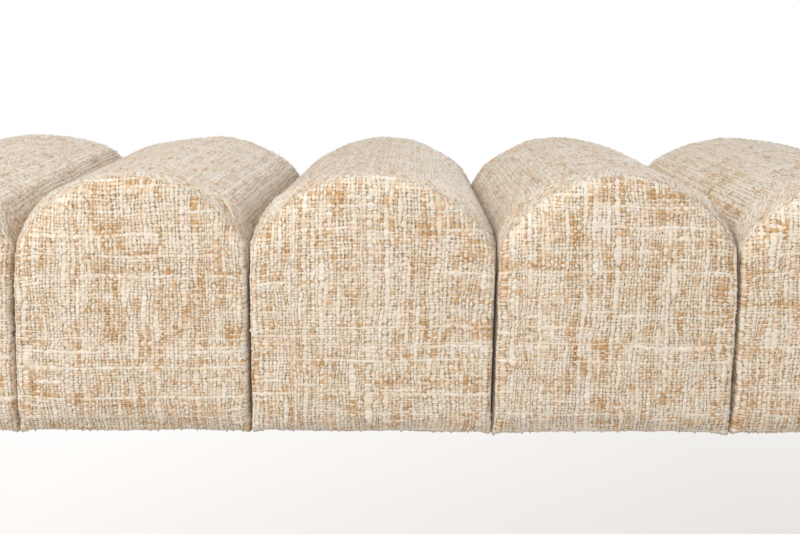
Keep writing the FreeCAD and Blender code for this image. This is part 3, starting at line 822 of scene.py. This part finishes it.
class Nodes:
    """Short ways to add nodes to one tree."""

    def __init__(self, tree):
        self.nodes, self.links = tree.nodes, tree.links

    def put(self, socket, value):
        if isinstance(value, bpy.types.NodeSocket):
            self.links.new(value, socket)
        else:
            socket.default_value = value

    def fill(self, node, values):
        """Links or sets the named inputs of a node."""
        for name, value in values.items():
            self.put(node.inputs[name], value)

    def feed(self, node, *values):
        """Links or sets the inputs of a node in their order, and returns its first output."""
        for socket, value in zip(node.inputs, values):
            self.put(socket, value)
        return node.outputs[0]

    def math(self, operation, *values, clamp=False):
        node = self.nodes.new("ShaderNodeMath")
        node.operation = operation
        node.use_clamp = clamp
        return self.feed(node, *values)

    def plus(self, first, second):
        return self.math("ADD", first, second)

    def minus(self, first, second):
        return self.math("SUBTRACT", first, second)

    def times(self, first, second):
        return self.math("MULTIPLY", first, second)

    def scaled(self, value, factor, base):
        return self.math("MULTIPLY_ADD", value, factor, base)

    def join(self, x, y, z=0.0):
        return self.feed(self.nodes.new("ShaderNodeCombineXYZ"), x, y, z)

    def split(self, vector):
        node = self.nodes.new("ShaderNodeSeparateXYZ")
        self.feed(node, vector)
        return node.outputs

    def place(self):
        """Places in the object's own frame."""
        return self.nodes.new("ShaderNodeTexCoord").outputs["Object"]

    def noise(self, vector, scale, detail=1.0, roughness=0.5):
        node = self.nodes.new("ShaderNodeTexNoise")
        self.fill(node, {"Vector": vector, "Scale": scale, "Detail": detail, "Roughness": roughness})
        return node.outputs["Fac"]

    def random(self, vector):
        node = self.nodes.new("ShaderNodeTexWhiteNoise")
        node.noise_dimensions = "3D"
        self.fill(node, {"Vector": vector})
        return node.outputs["Value"]

    def ramp(self, value, stops):
        node = self.nodes.new("ShaderNodeValToRGB")
        elements = node.color_ramp.elements
        while len(elements) < len(stops):
            elements.new(0.5)
        for element, (place, colour) in zip(elements, stops):
            element.position = place
            element.color = (*colour, 1.0)
        return self.feed(node, value)

    def blend(self, factor, first, second, kind="MIX"):
        node = self.nodes.new("ShaderNodeMix")
        node.data_type = "RGBA"
        node.blend_type = kind
        self.put(node.inputs["Factor"], factor)
        self.put(node.inputs[6], first)
        self.put(node.inputs[7], second)
        return node.outputs[2]

    def range(self, value, low, high, to_low, to_high, smooth=False):
        node = self.nodes.new("ShaderNodeMapRange")
        node.interpolation_type = "SMOOTHSTEP" if smooth else "LINEAR"
        return self.feed(node, value, low, high, to_low, to_high)

    def mix_shader(self, factor, first, second):
        return self.feed(self.nodes.new("ShaderNodeMixShader"), factor, first, second)

    def seen_directly(self):
        """Rays of the camera, mirrors and glass, which see the white surroundings."""
        light = self.nodes.new("ShaderNodeLightPath")
        seen = self.math("MAXIMUM", light.outputs["Is Camera Ray"], light.outputs["Is Glossy Ray"])
        return self.math("MAXIMUM", seen, light.outputs["Is Transmission Ray"])


def new_group(name, inputs, outputs):
    group = bpy.data.node_groups.new(name, "ShaderNodeTree")
    for socket, kind in inputs:
        group.interface.new_socket(socket, in_out="INPUT", socket_type=kind)
    for socket, kind in outputs:
        group.interface.new_socket(socket, in_out="OUTPUT", socket_type=kind)
    return group, group.nodes.new("NodeGroupInput"), group.nodes.new("NodeGroupOutput"), Nodes(group)


# Slub weave: yarn colours from dark ochre to pale cream, by a yarn's value

YARN_COLOURS = (
    (0.20, (0.49, 0.25, 0.09)),
    (0.31, (0.65, 0.385, 0.175)),
    (0.39, (0.75, 0.525, 0.32)),
    (0.46, (0.83, 0.665, 0.49)),
    (0.53, (0.89, 0.765, 0.615)),
    (0.61, (0.93, 0.825, 0.69)),
    (0.68, (0.82, 0.75, 0.66)),
    (0.74, (0.95, 0.87, 0.76)),
)
YARN_TINTS = ((0.35, (0.95, 0.975, 0.975)), (0.5, (1.0, 1.0, 1.0)), (0.65, (1.0, 0.955, 0.945)))
# Painted shade in the gaps between yarns: its colour, and the weave heights over which it fades out
GAP_SHADE_COLOUR = (0.31, 0.215, 0.13, 1.0)
GAP_SHADE_HEIGHTS = (0.72, 1.42)
SLUB_EDGES = (0.70, 0.95)
WARP_YARN = {
    "seed": 9.0,
    "widths": (0.80, 1.04),
    "thickness": 0.85,
    "wave": 0.42,
    "change": 0.10,
    "pale": 0.0,
}
PICK_YARN = {
    "seed": 5.0,
    "widths": (0.66, 0.93),
    "thickness": 0.60,
    "wave": -0.40,
    "change": 0.08,
    "pale": 0.03,
}


def stray(n, u, v, seed):
    """Small wanderings of the yarns about their straight lines."""
    loose = n.minus(n.noise(n.join(u, v, seed), 0.55, 2.0, 0.6), 0.5)
    frayed = n.minus(n.noise(n.join(u, v, seed + 50.0), 2.3, 2.0, 0.7), 0.5)
    return n.times(n.scaled(frayed, 0.45, loose), 1.1)


def patches(n, u, v, u_rate, v_rate, seed, size):
    """Soft patches of paler and darker yarn."""
    place = n.join(n.times(u, u_rate), n.times(v, v_rate), seed)
    return n.times(n.minus(n.noise(place, 1.0, 1.0), 0.5), size)


def long_thread(n, along, number, chosen, chance, stretch):
    """Pale thread on some of the yarns, in long stretches."""
    thread = n.range(n.random(n.join(number, *chosen)), *chance, 0.0, 1.0)
    rate, step, seed = stretch
    reach = n.noise(n.join(n.times(along, rate), n.times(number, step), seed), 1.0, 1.0)
    return n.times(thread, n.range(reach, 0.42, 0.55, 0.0, 1.0))


def yarn(n, across, along, number, slub, patch, kind):
    """Height and colour value of one set of yarns."""
    own = n.random(n.join(number, kind["seed"], 3.7))
    width = n.scaled(slub, 0.2, n.range(own, 0.0, 1.0, *kind["widths"]))
    off_middle = n.times(n.minus(n.math("FRACT", across), 0.5), 2.0)
    off_middle = n.math("DIVIDE", off_middle, width)
    body = n.math("SQRT", n.math("SUBTRACT", 1.0, n.math("POWER", off_middle, 2.0), clamp=True))
    phase = n.minus(n.minus(along, 0.5), number)
    rise = n.math("COSINE", n.times(phase, math.pi))
    rise = n.times(rise, n.scaled(slub, -0.45 * kind["wave"], kind["wave"]))
    crown = n.plus(rise, n.scaled(slub, 0.34, kind["thickness"]))
    place = n.join(n.times(along, kind["change"]), n.times(number, 13.37), kind["seed"])
    stretch = n.scaled(n.noise(place, 1.0, 2.0), 0.75, 0.125)
    value = n.plus(stretch, n.scaled(own, 0.12, kind["pale"] - 0.06))
    value = n.plus(n.plus(value, patch), n.times(slub, 0.13))
    return n.times(body, crown), value


def slub_weave():
    """Plain weave of slub yarns that change colour along their length, with painted shade in the gaps between
    yarns.
    """
    group, given, out, n = new_group(
        "slub weave",
        [("Yarns", "NodeSocketVector"), ("Slub", "NodeSocketFloat")],
        [("Colour", "NodeSocketColor"), ("Height", "NodeSocketFloat")],
    )
    straight_u, straight_v, _ = n.split(given.outputs["Yarns"])
    u = n.plus(straight_u, stray(n, straight_u, straight_v, 3.3))
    v = n.plus(straight_v, stray(n, straight_u, straight_v, 21.7))
    warp, pick = n.math("FLOOR", u), n.math("FLOOR", v)

    nub = n.times(n.minus(n.random(n.join(warp, pick, 2.2)), 0.5), 0.13)
    broad = n.plus(patches(n, u, v, 0.19, 0.15, 2.0, 0.34), patches(n, u, v, 0.05, 0.04, 3.0, 0.12))
    broad = n.plus(broad, nub)
    warp_patch = n.plus(broad, patches(n, u, v, 0.42, 0.09, 6.0, 0.33))
    pick_patch = n.plus(broad, patches(n, u, v, 0.08, 0.42, 9.0, 0.33))

    pick_slub = n.range(given.outputs["Slub"], *SLUB_EDGES, 0.0, 1.0, smooth=True)
    warp_slub = n.range(n.times(given.outputs["Slub"], -1.0), *SLUB_EDGES, 0.0, 1.0, smooth=True)
    cross_thread = long_thread(n, u, pick, (1.9, 8.2), (0.80, 0.86), (0.05, 5.71, 4.4))
    upright_thread = long_thread(n, v, warp, (4.6, 6.1), (0.88, 0.93), (0.12, 3.17, 8.8))
    pick_slub = n.math("MAXIMUM", pick_slub, cross_thread)
    warp_slub = n.math("MAXIMUM", warp_slub, n.times(upright_thread, 0.75))
    warp_height, warp_value = yarn(n, u, v, warp, warp_slub, warp_patch, WARP_YARN)
    pick_height, pick_value = yarn(n, v, u, pick, pick_slub, pick_patch, PICK_YARN)
    warp_over = n.range(n.minus(warp_height, pick_height), -0.08, 0.08, 0.0, 1.0, smooth=True)

    warp_fibre = n.noise(n.join(n.times(u, 9.0), n.times(v, 2.6)), 1.0, 2.0)
    pick_fibre = n.noise(n.join(n.times(u, 2.6), n.times(v, 9.0), 5.0), 1.0, 2.0)
    fibre = n.scaled(n.minus(warp_fibre, pick_fibre), warp_over, pick_fibre)
    value = n.scaled(n.minus(warp_value, pick_value), warp_over, pick_value)
    value = n.plus(value, n.times(n.minus(fibre, 0.5), 0.08))
    hue = n.noise(n.join(n.times(u, 0.45), n.times(v, 0.35), 31.0), 1.0, 2.0)
    colour = n.blend(1.0, n.ramp(value, YARN_COLOURS), n.ramp(hue, YARN_TINTS), "MULTIPLY")

    height = n.math("SMOOTH_MAX", warp_height, pick_height, 0.1)
    # Painted shade: where the weave is low, between the yarns, the colour darkens towards the gap shade
    # colour, less where the fill noise is high
    fill = n.noise(n.join(n.times(u, 0.9), n.times(v, 0.8), 7.7), 1.0, 1.0)
    gap_shade = n.range(n.scaled(fill, 1.1, height), *GAP_SHADE_HEIGHTS, 1.0, 0.0, smooth=True)
    # Fibre tone from the noise that also bumps the fibres: partly random tone, partly painted shade of that
    # bump
    fibre_tone_and_shade = n.range(fibre, 0.25, 0.75, 0.84, 1.10)
    colour = n.blend(1.0, n.blend(gap_shade, colour, GAP_SHADE_COLOUR), n.join(fibre_tone_and_shade, fibre_tone_and_shade, fibre_tone_and_shade), "MULTIPLY")
    relief = n.scaled(n.minus(fibre, 0.5), 0.3, height)
    n.fill(out, {"Colour": colour, "Height": relief})
    return group


def wood_grain():
    """Streaks of wood along X of the given place, between two colours."""
    group, given, out, n = new_group(
        "wood grain",
        [("Place", "NodeSocketVector"), ("Dark", "NodeSocketColor"), ("Light", "NodeSocketColor")],
        [("Colour", "NodeSocketColor"), ("Height", "NodeSocketFloat"), ("Roughness", "NodeSocketFloat")],
    )
    x, y, z = n.split(given.outputs["Place"])
    drift = n.noise(n.join(n.times(x, 0.15), y, z), 14.0, 2.0)
    rings = n.noise(n.join(n.times(x, 0.04), y, z), 120.0, 2.0, 0.6)
    pores = n.noise(n.join(n.times(x, 0.05), y, z), 900.0, 1.0)
    value = n.plus(n.times(drift, 0.45), n.times(rings, 0.55))
    value = n.range(value, 0.32, 0.68, 0.0, 1.0, smooth=True)
    colour = n.blend(value, given.outputs["Dark"], given.outputs["Light"])
    pore = n.range(pores, 0.56, 0.66, 0.0, 1.0)
    colour = n.blend(n.times(pore, 0.35), colour, given.outputs["Dark"])
    relief = n.minus(value, n.times(pore, 0.6))
    n.fill(out, {"Colour": colour, "Height": relief, "Roughness": n.range(value, 0.0, 1.0, 0.52, 0.38)})
    return group


def bump(n, shader, height, distance, strength):
    node = n.nodes.new("ShaderNodeBump")
    n.fill(node, {"Height": height, "Distance": distance, "Strength": strength})
    n.fill(shader, {"Normal": node.outputs["Normal"]})


def tweed_material(weave):
    material, n, shader = new_material("slub tweed")
    yarns = n.nodes.new("ShaderNodeUVMap")
    yarns.uv_map = "yarns"
    slub = n.nodes.new("ShaderNodeAttribute")
    slub.attribute_name = "slub"
    cloth = n.nodes.new("ShaderNodeGroup")
    cloth.node_tree = weave
    n.fill(cloth, {"Yarns": yarns.outputs["UV"], "Slub": slub.outputs["Fac"]})
    n.fill(shader, {"Base Color": cloth.outputs["Colour"], "Roughness": 0.92, "Specular IOR Level": 0.18})
    n.fill(shader, {"Sheen Weight": 0.9, "Sheen Roughness": 0.45, "Sheen Tint": (0.94, 0.94, 0.94, 1.0)})
    bump(n, shader, cloth.outputs["Height"], 0.0009, 0.65)
    return material


def wood_material(name, grain, dark, light, upright=False):
    material, n, shader = new_material(name)
    mapping = n.nodes.new("ShaderNodeMapping")
    n.fill(mapping, {"Vector": n.place(), "Rotation": (0.0, math.pi / 2 if upright else 0.0, 0.0)})
    timber = n.nodes.new("ShaderNodeGroup")
    timber.node_tree = grain
    n.fill(timber, {"Place": mapping.outputs["Vector"], "Dark": (*dark, 1.0), "Light": (*light, 1.0)})
    n.fill(shader, {"Base Color": timber.outputs["Colour"], "Roughness": timber.outputs["Roughness"]})
    n.fill(shader, {"Specular IOR Level": 0.35})
    bump(n, shader, timber.outputs["Height"], 0.0004, 0.35)
    return material


def speckled_material(name, scale, detail, roughness, dark, light):
    """A material whose colour runs between two tones by fine noise, and that noise."""
    material, n, shader = new_material(name)
    speckle = n.noise(n.place(), scale, detail, roughness)
    n.fill(shader, {"Base Color": n.ramp(speckle, ((0.3, dark), (0.7, light)))})
    return material, n, shader, speckle


def dust_cloth_material():
    dark, light = (0.012, 0.012, 0.013), (0.045, 0.044, 0.043)
    material, n, shader, fibres = speckled_material("black dust cloth", 700.0, 3.0, 0.7, dark, light)
    n.fill(shader, {"Roughness": 0.95})
    bump(n, shader, fibres, 0.0004, 0.6)
    return material


def zinc_material():
    dark, light = (0.50, 0.50, 0.49), (0.68, 0.68, 0.66)
    material, n, shader, cloud = speckled_material("zinc plate", 90.0, 3.0, 0.6, dark, light)
    n.fill(shader, {"Roughness": n.range(cloud, 0.3, 0.7, 0.28, 0.46), "Metallic": 1.0})
    return material


def plastic_material():
    dark, light = (0.028, 0.027, 0.026), (0.05, 0.048, 0.046)
    material, n, shader, grain = speckled_material("glide plastic", 1500.0, 2.0, 0.5, dark, light)
    n.fill(shader, {"Roughness": n.range(grain, 0.3, 0.7, 0.48, 0.62)})
    bump(n, shader, grain, 0.0002, 0.4)
    return material


def dress_nodes(grain):
    """Gives the solids that stay in view their finishes, by the record's slots."""
    black, worn_black = (0.008, 0.007, 0.006), (0.035, 0.03, 0.027)
    oak, pale_oak = (0.20, 0.105, 0.045), (0.42, 0.25, 0.12)
    finishes = {
        "plywood": wood_material("birch ply", grain, (0.42, 0.28, 0.15), (0.66, 0.49, 0.31)),
        "frame_timber": wood_material("black stain", grain, black, worn_black),
        "leg_timber": wood_material("oiled oak", grain, oak, pale_oak, upright=True),
        "dust_cloth": dust_cloth_material(),
        "plated_steel": zinc_material(),
        "glide_plastic": plastic_material(),
    }
    for part in frame["record"]["subparts"]:
        finish = finishes.get(part["material_slot"])
        if finish:
            for slot in frame["nodes"][part["node"]].material_slots:
                slot.material = finish


# Studio


def floor_material():
    """A pale floor that whitens away from the bench, with a painted shadow near it that darkens towards the
    right and lightens behind the bench, and a warm tint of painted shade close to it.
    """
    material, n, shader = new_material("studio floor")
    place = n.place()
    pale = n.ramp(n.noise(place, 0.6, 2.0), ((0.3, (0.65, 0.615, 0.58)), (0.7, (0.68, 0.645, 0.61))))
    n.fill(shader, {"Base Color": pale, "Roughness": 0.8})
    x, y, _ = n.split(place)
    across = n.times(x, 0.35)
    reach = n.math("SQRT", n.plus(n.math("POWER", across, 2.0), n.math("POWER", y, 2.0)))
    # Painted shadow: near the bench less white goes over the lit floor towards the right, and more behind the
    # bench
    painted_shadow_white_share = n.range(x, -0.45, 0.45, 0.98, 0.78)
    painted_shadow_white_share = n.math("ADD", painted_shadow_white_share, n.range(y, 0.0, 0.4, 0.0, 0.05), clamp=True)
    far = n.range(reach, 0.3, 0.9, 0.0, 1.0, smooth=True)
    away = n.scaled(n.minus(1.0, painted_shadow_white_share), far, painted_shadow_white_share)
    # Painted warm shade: the white turns warm close to the bench
    out_of_warm_painted_shade = n.range(reach, 0.0, 0.7, 0.0, 1.0, smooth=True)
    white = n.nodes.new("ShaderNodeEmission")
    n.fill(white, {"Color": n.blend(out_of_warm_painted_shade, (1.0, 0.965, 0.935, 1.0), (1.0, 1.0, 1.0, 1.0))})
    share = n.times(away, n.seen_directly())
    surface = n.mix_shader(share, shader.outputs["BSDF"], white.outputs["Emission"])
    n.fill(n.nodes["Material Output"], {"Surface": surface})
    return material


def studio_floor():
    bm = bmesh.new()
    bmesh.ops.create_grid(bm, x_segments=4, y_segments=4, size=FLOOR_HALF)
    mesh = bpy.data.meshes.new("floor")
    bm.to_mesh(mesh)
    bm.free()
    mesh.materials.append(floor_material())
    floor = bpy.data.objects.new("floor", mesh)
    bpy.context.scene.collection.objects.link(floor)


def studio_world():
    """Soft light from all around, in front of a white background."""
    world = bpy.data.worlds.new("studio")
    world.use_nodes = True
    n = Nodes(world.node_tree)
    ambient = n.nodes["Background"]
    n.fill(ambient, {"Color": (1.0, 0.985, 0.965, 1.0), "Strength": AMBIENT_STRENGTH})
    white = n.nodes.new("ShaderNodeBackground")
    n.fill(white, {"Color": (1.0, 1.0, 1.0, 1.0), "Strength": 1.0})
    surface = n.mix_shader(n.seen_directly(), ambient.outputs["Background"], white.outputs["Background"])
    n.fill(n.nodes["World Output"], {"Surface": surface})
    bpy.context.scene.world = world


def softbox(name, place, size, power):
    lamp = bpy.data.lights.new(name, "AREA")
    lamp.shape = "SQUARE"
    lamp.size = size
    lamp.energy = power
    lamp.color = (1.0, 0.985, 0.96)
    holder = bpy.data.objects.new(name, lamp)
    reach = np.array(SOFTBOX_AIM) - np.array(place)
    tilt = math.atan2(math.hypot(reach[0], reach[1]), -reach[2])
    turn = math.atan2(reach[1], reach[0]) - math.pi / 2
    holder.location = place
    holder.rotation_euler = (tilt, 0.0, turn)
    bpy.context.scene.collection.objects.link(holder)


def photo_camera():
    camera = bpy.data.cameras.new("photo camera")
    camera.sensor_width = CAMERA_SENSOR
    camera.lens = CAMERA_LENS
    camera.clip_start = 0.02
    holder = bpy.data.objects.new("photo camera", camera)
    holder.location = CAMERA_PLACE
    holder.rotation_euler = (math.radians(CAMERA_TILT), 0.0, math.radians(CAMERA_TURN))
    bpy.context.scene.collection.objects.link(holder)
    bpy.context.scene.camera = holder


bpy.context.scene.view_settings.view_transform = "Standard"
photo_camera()
studio_floor()
studio_world()
for lamp_values in SOFTBOXES:
    softbox(*lamp_values)
dress_nodes(wood_grain())
tweed = tweed_material(slub_weave())
for module_number in range(MODULES):
    module_swell = swelling(module_number)
    panel(module_number, -1, module_swell, tweed)
    panel(module_number, 1, module_swell, tweed)
    band(module_number, module_swell, tweed)
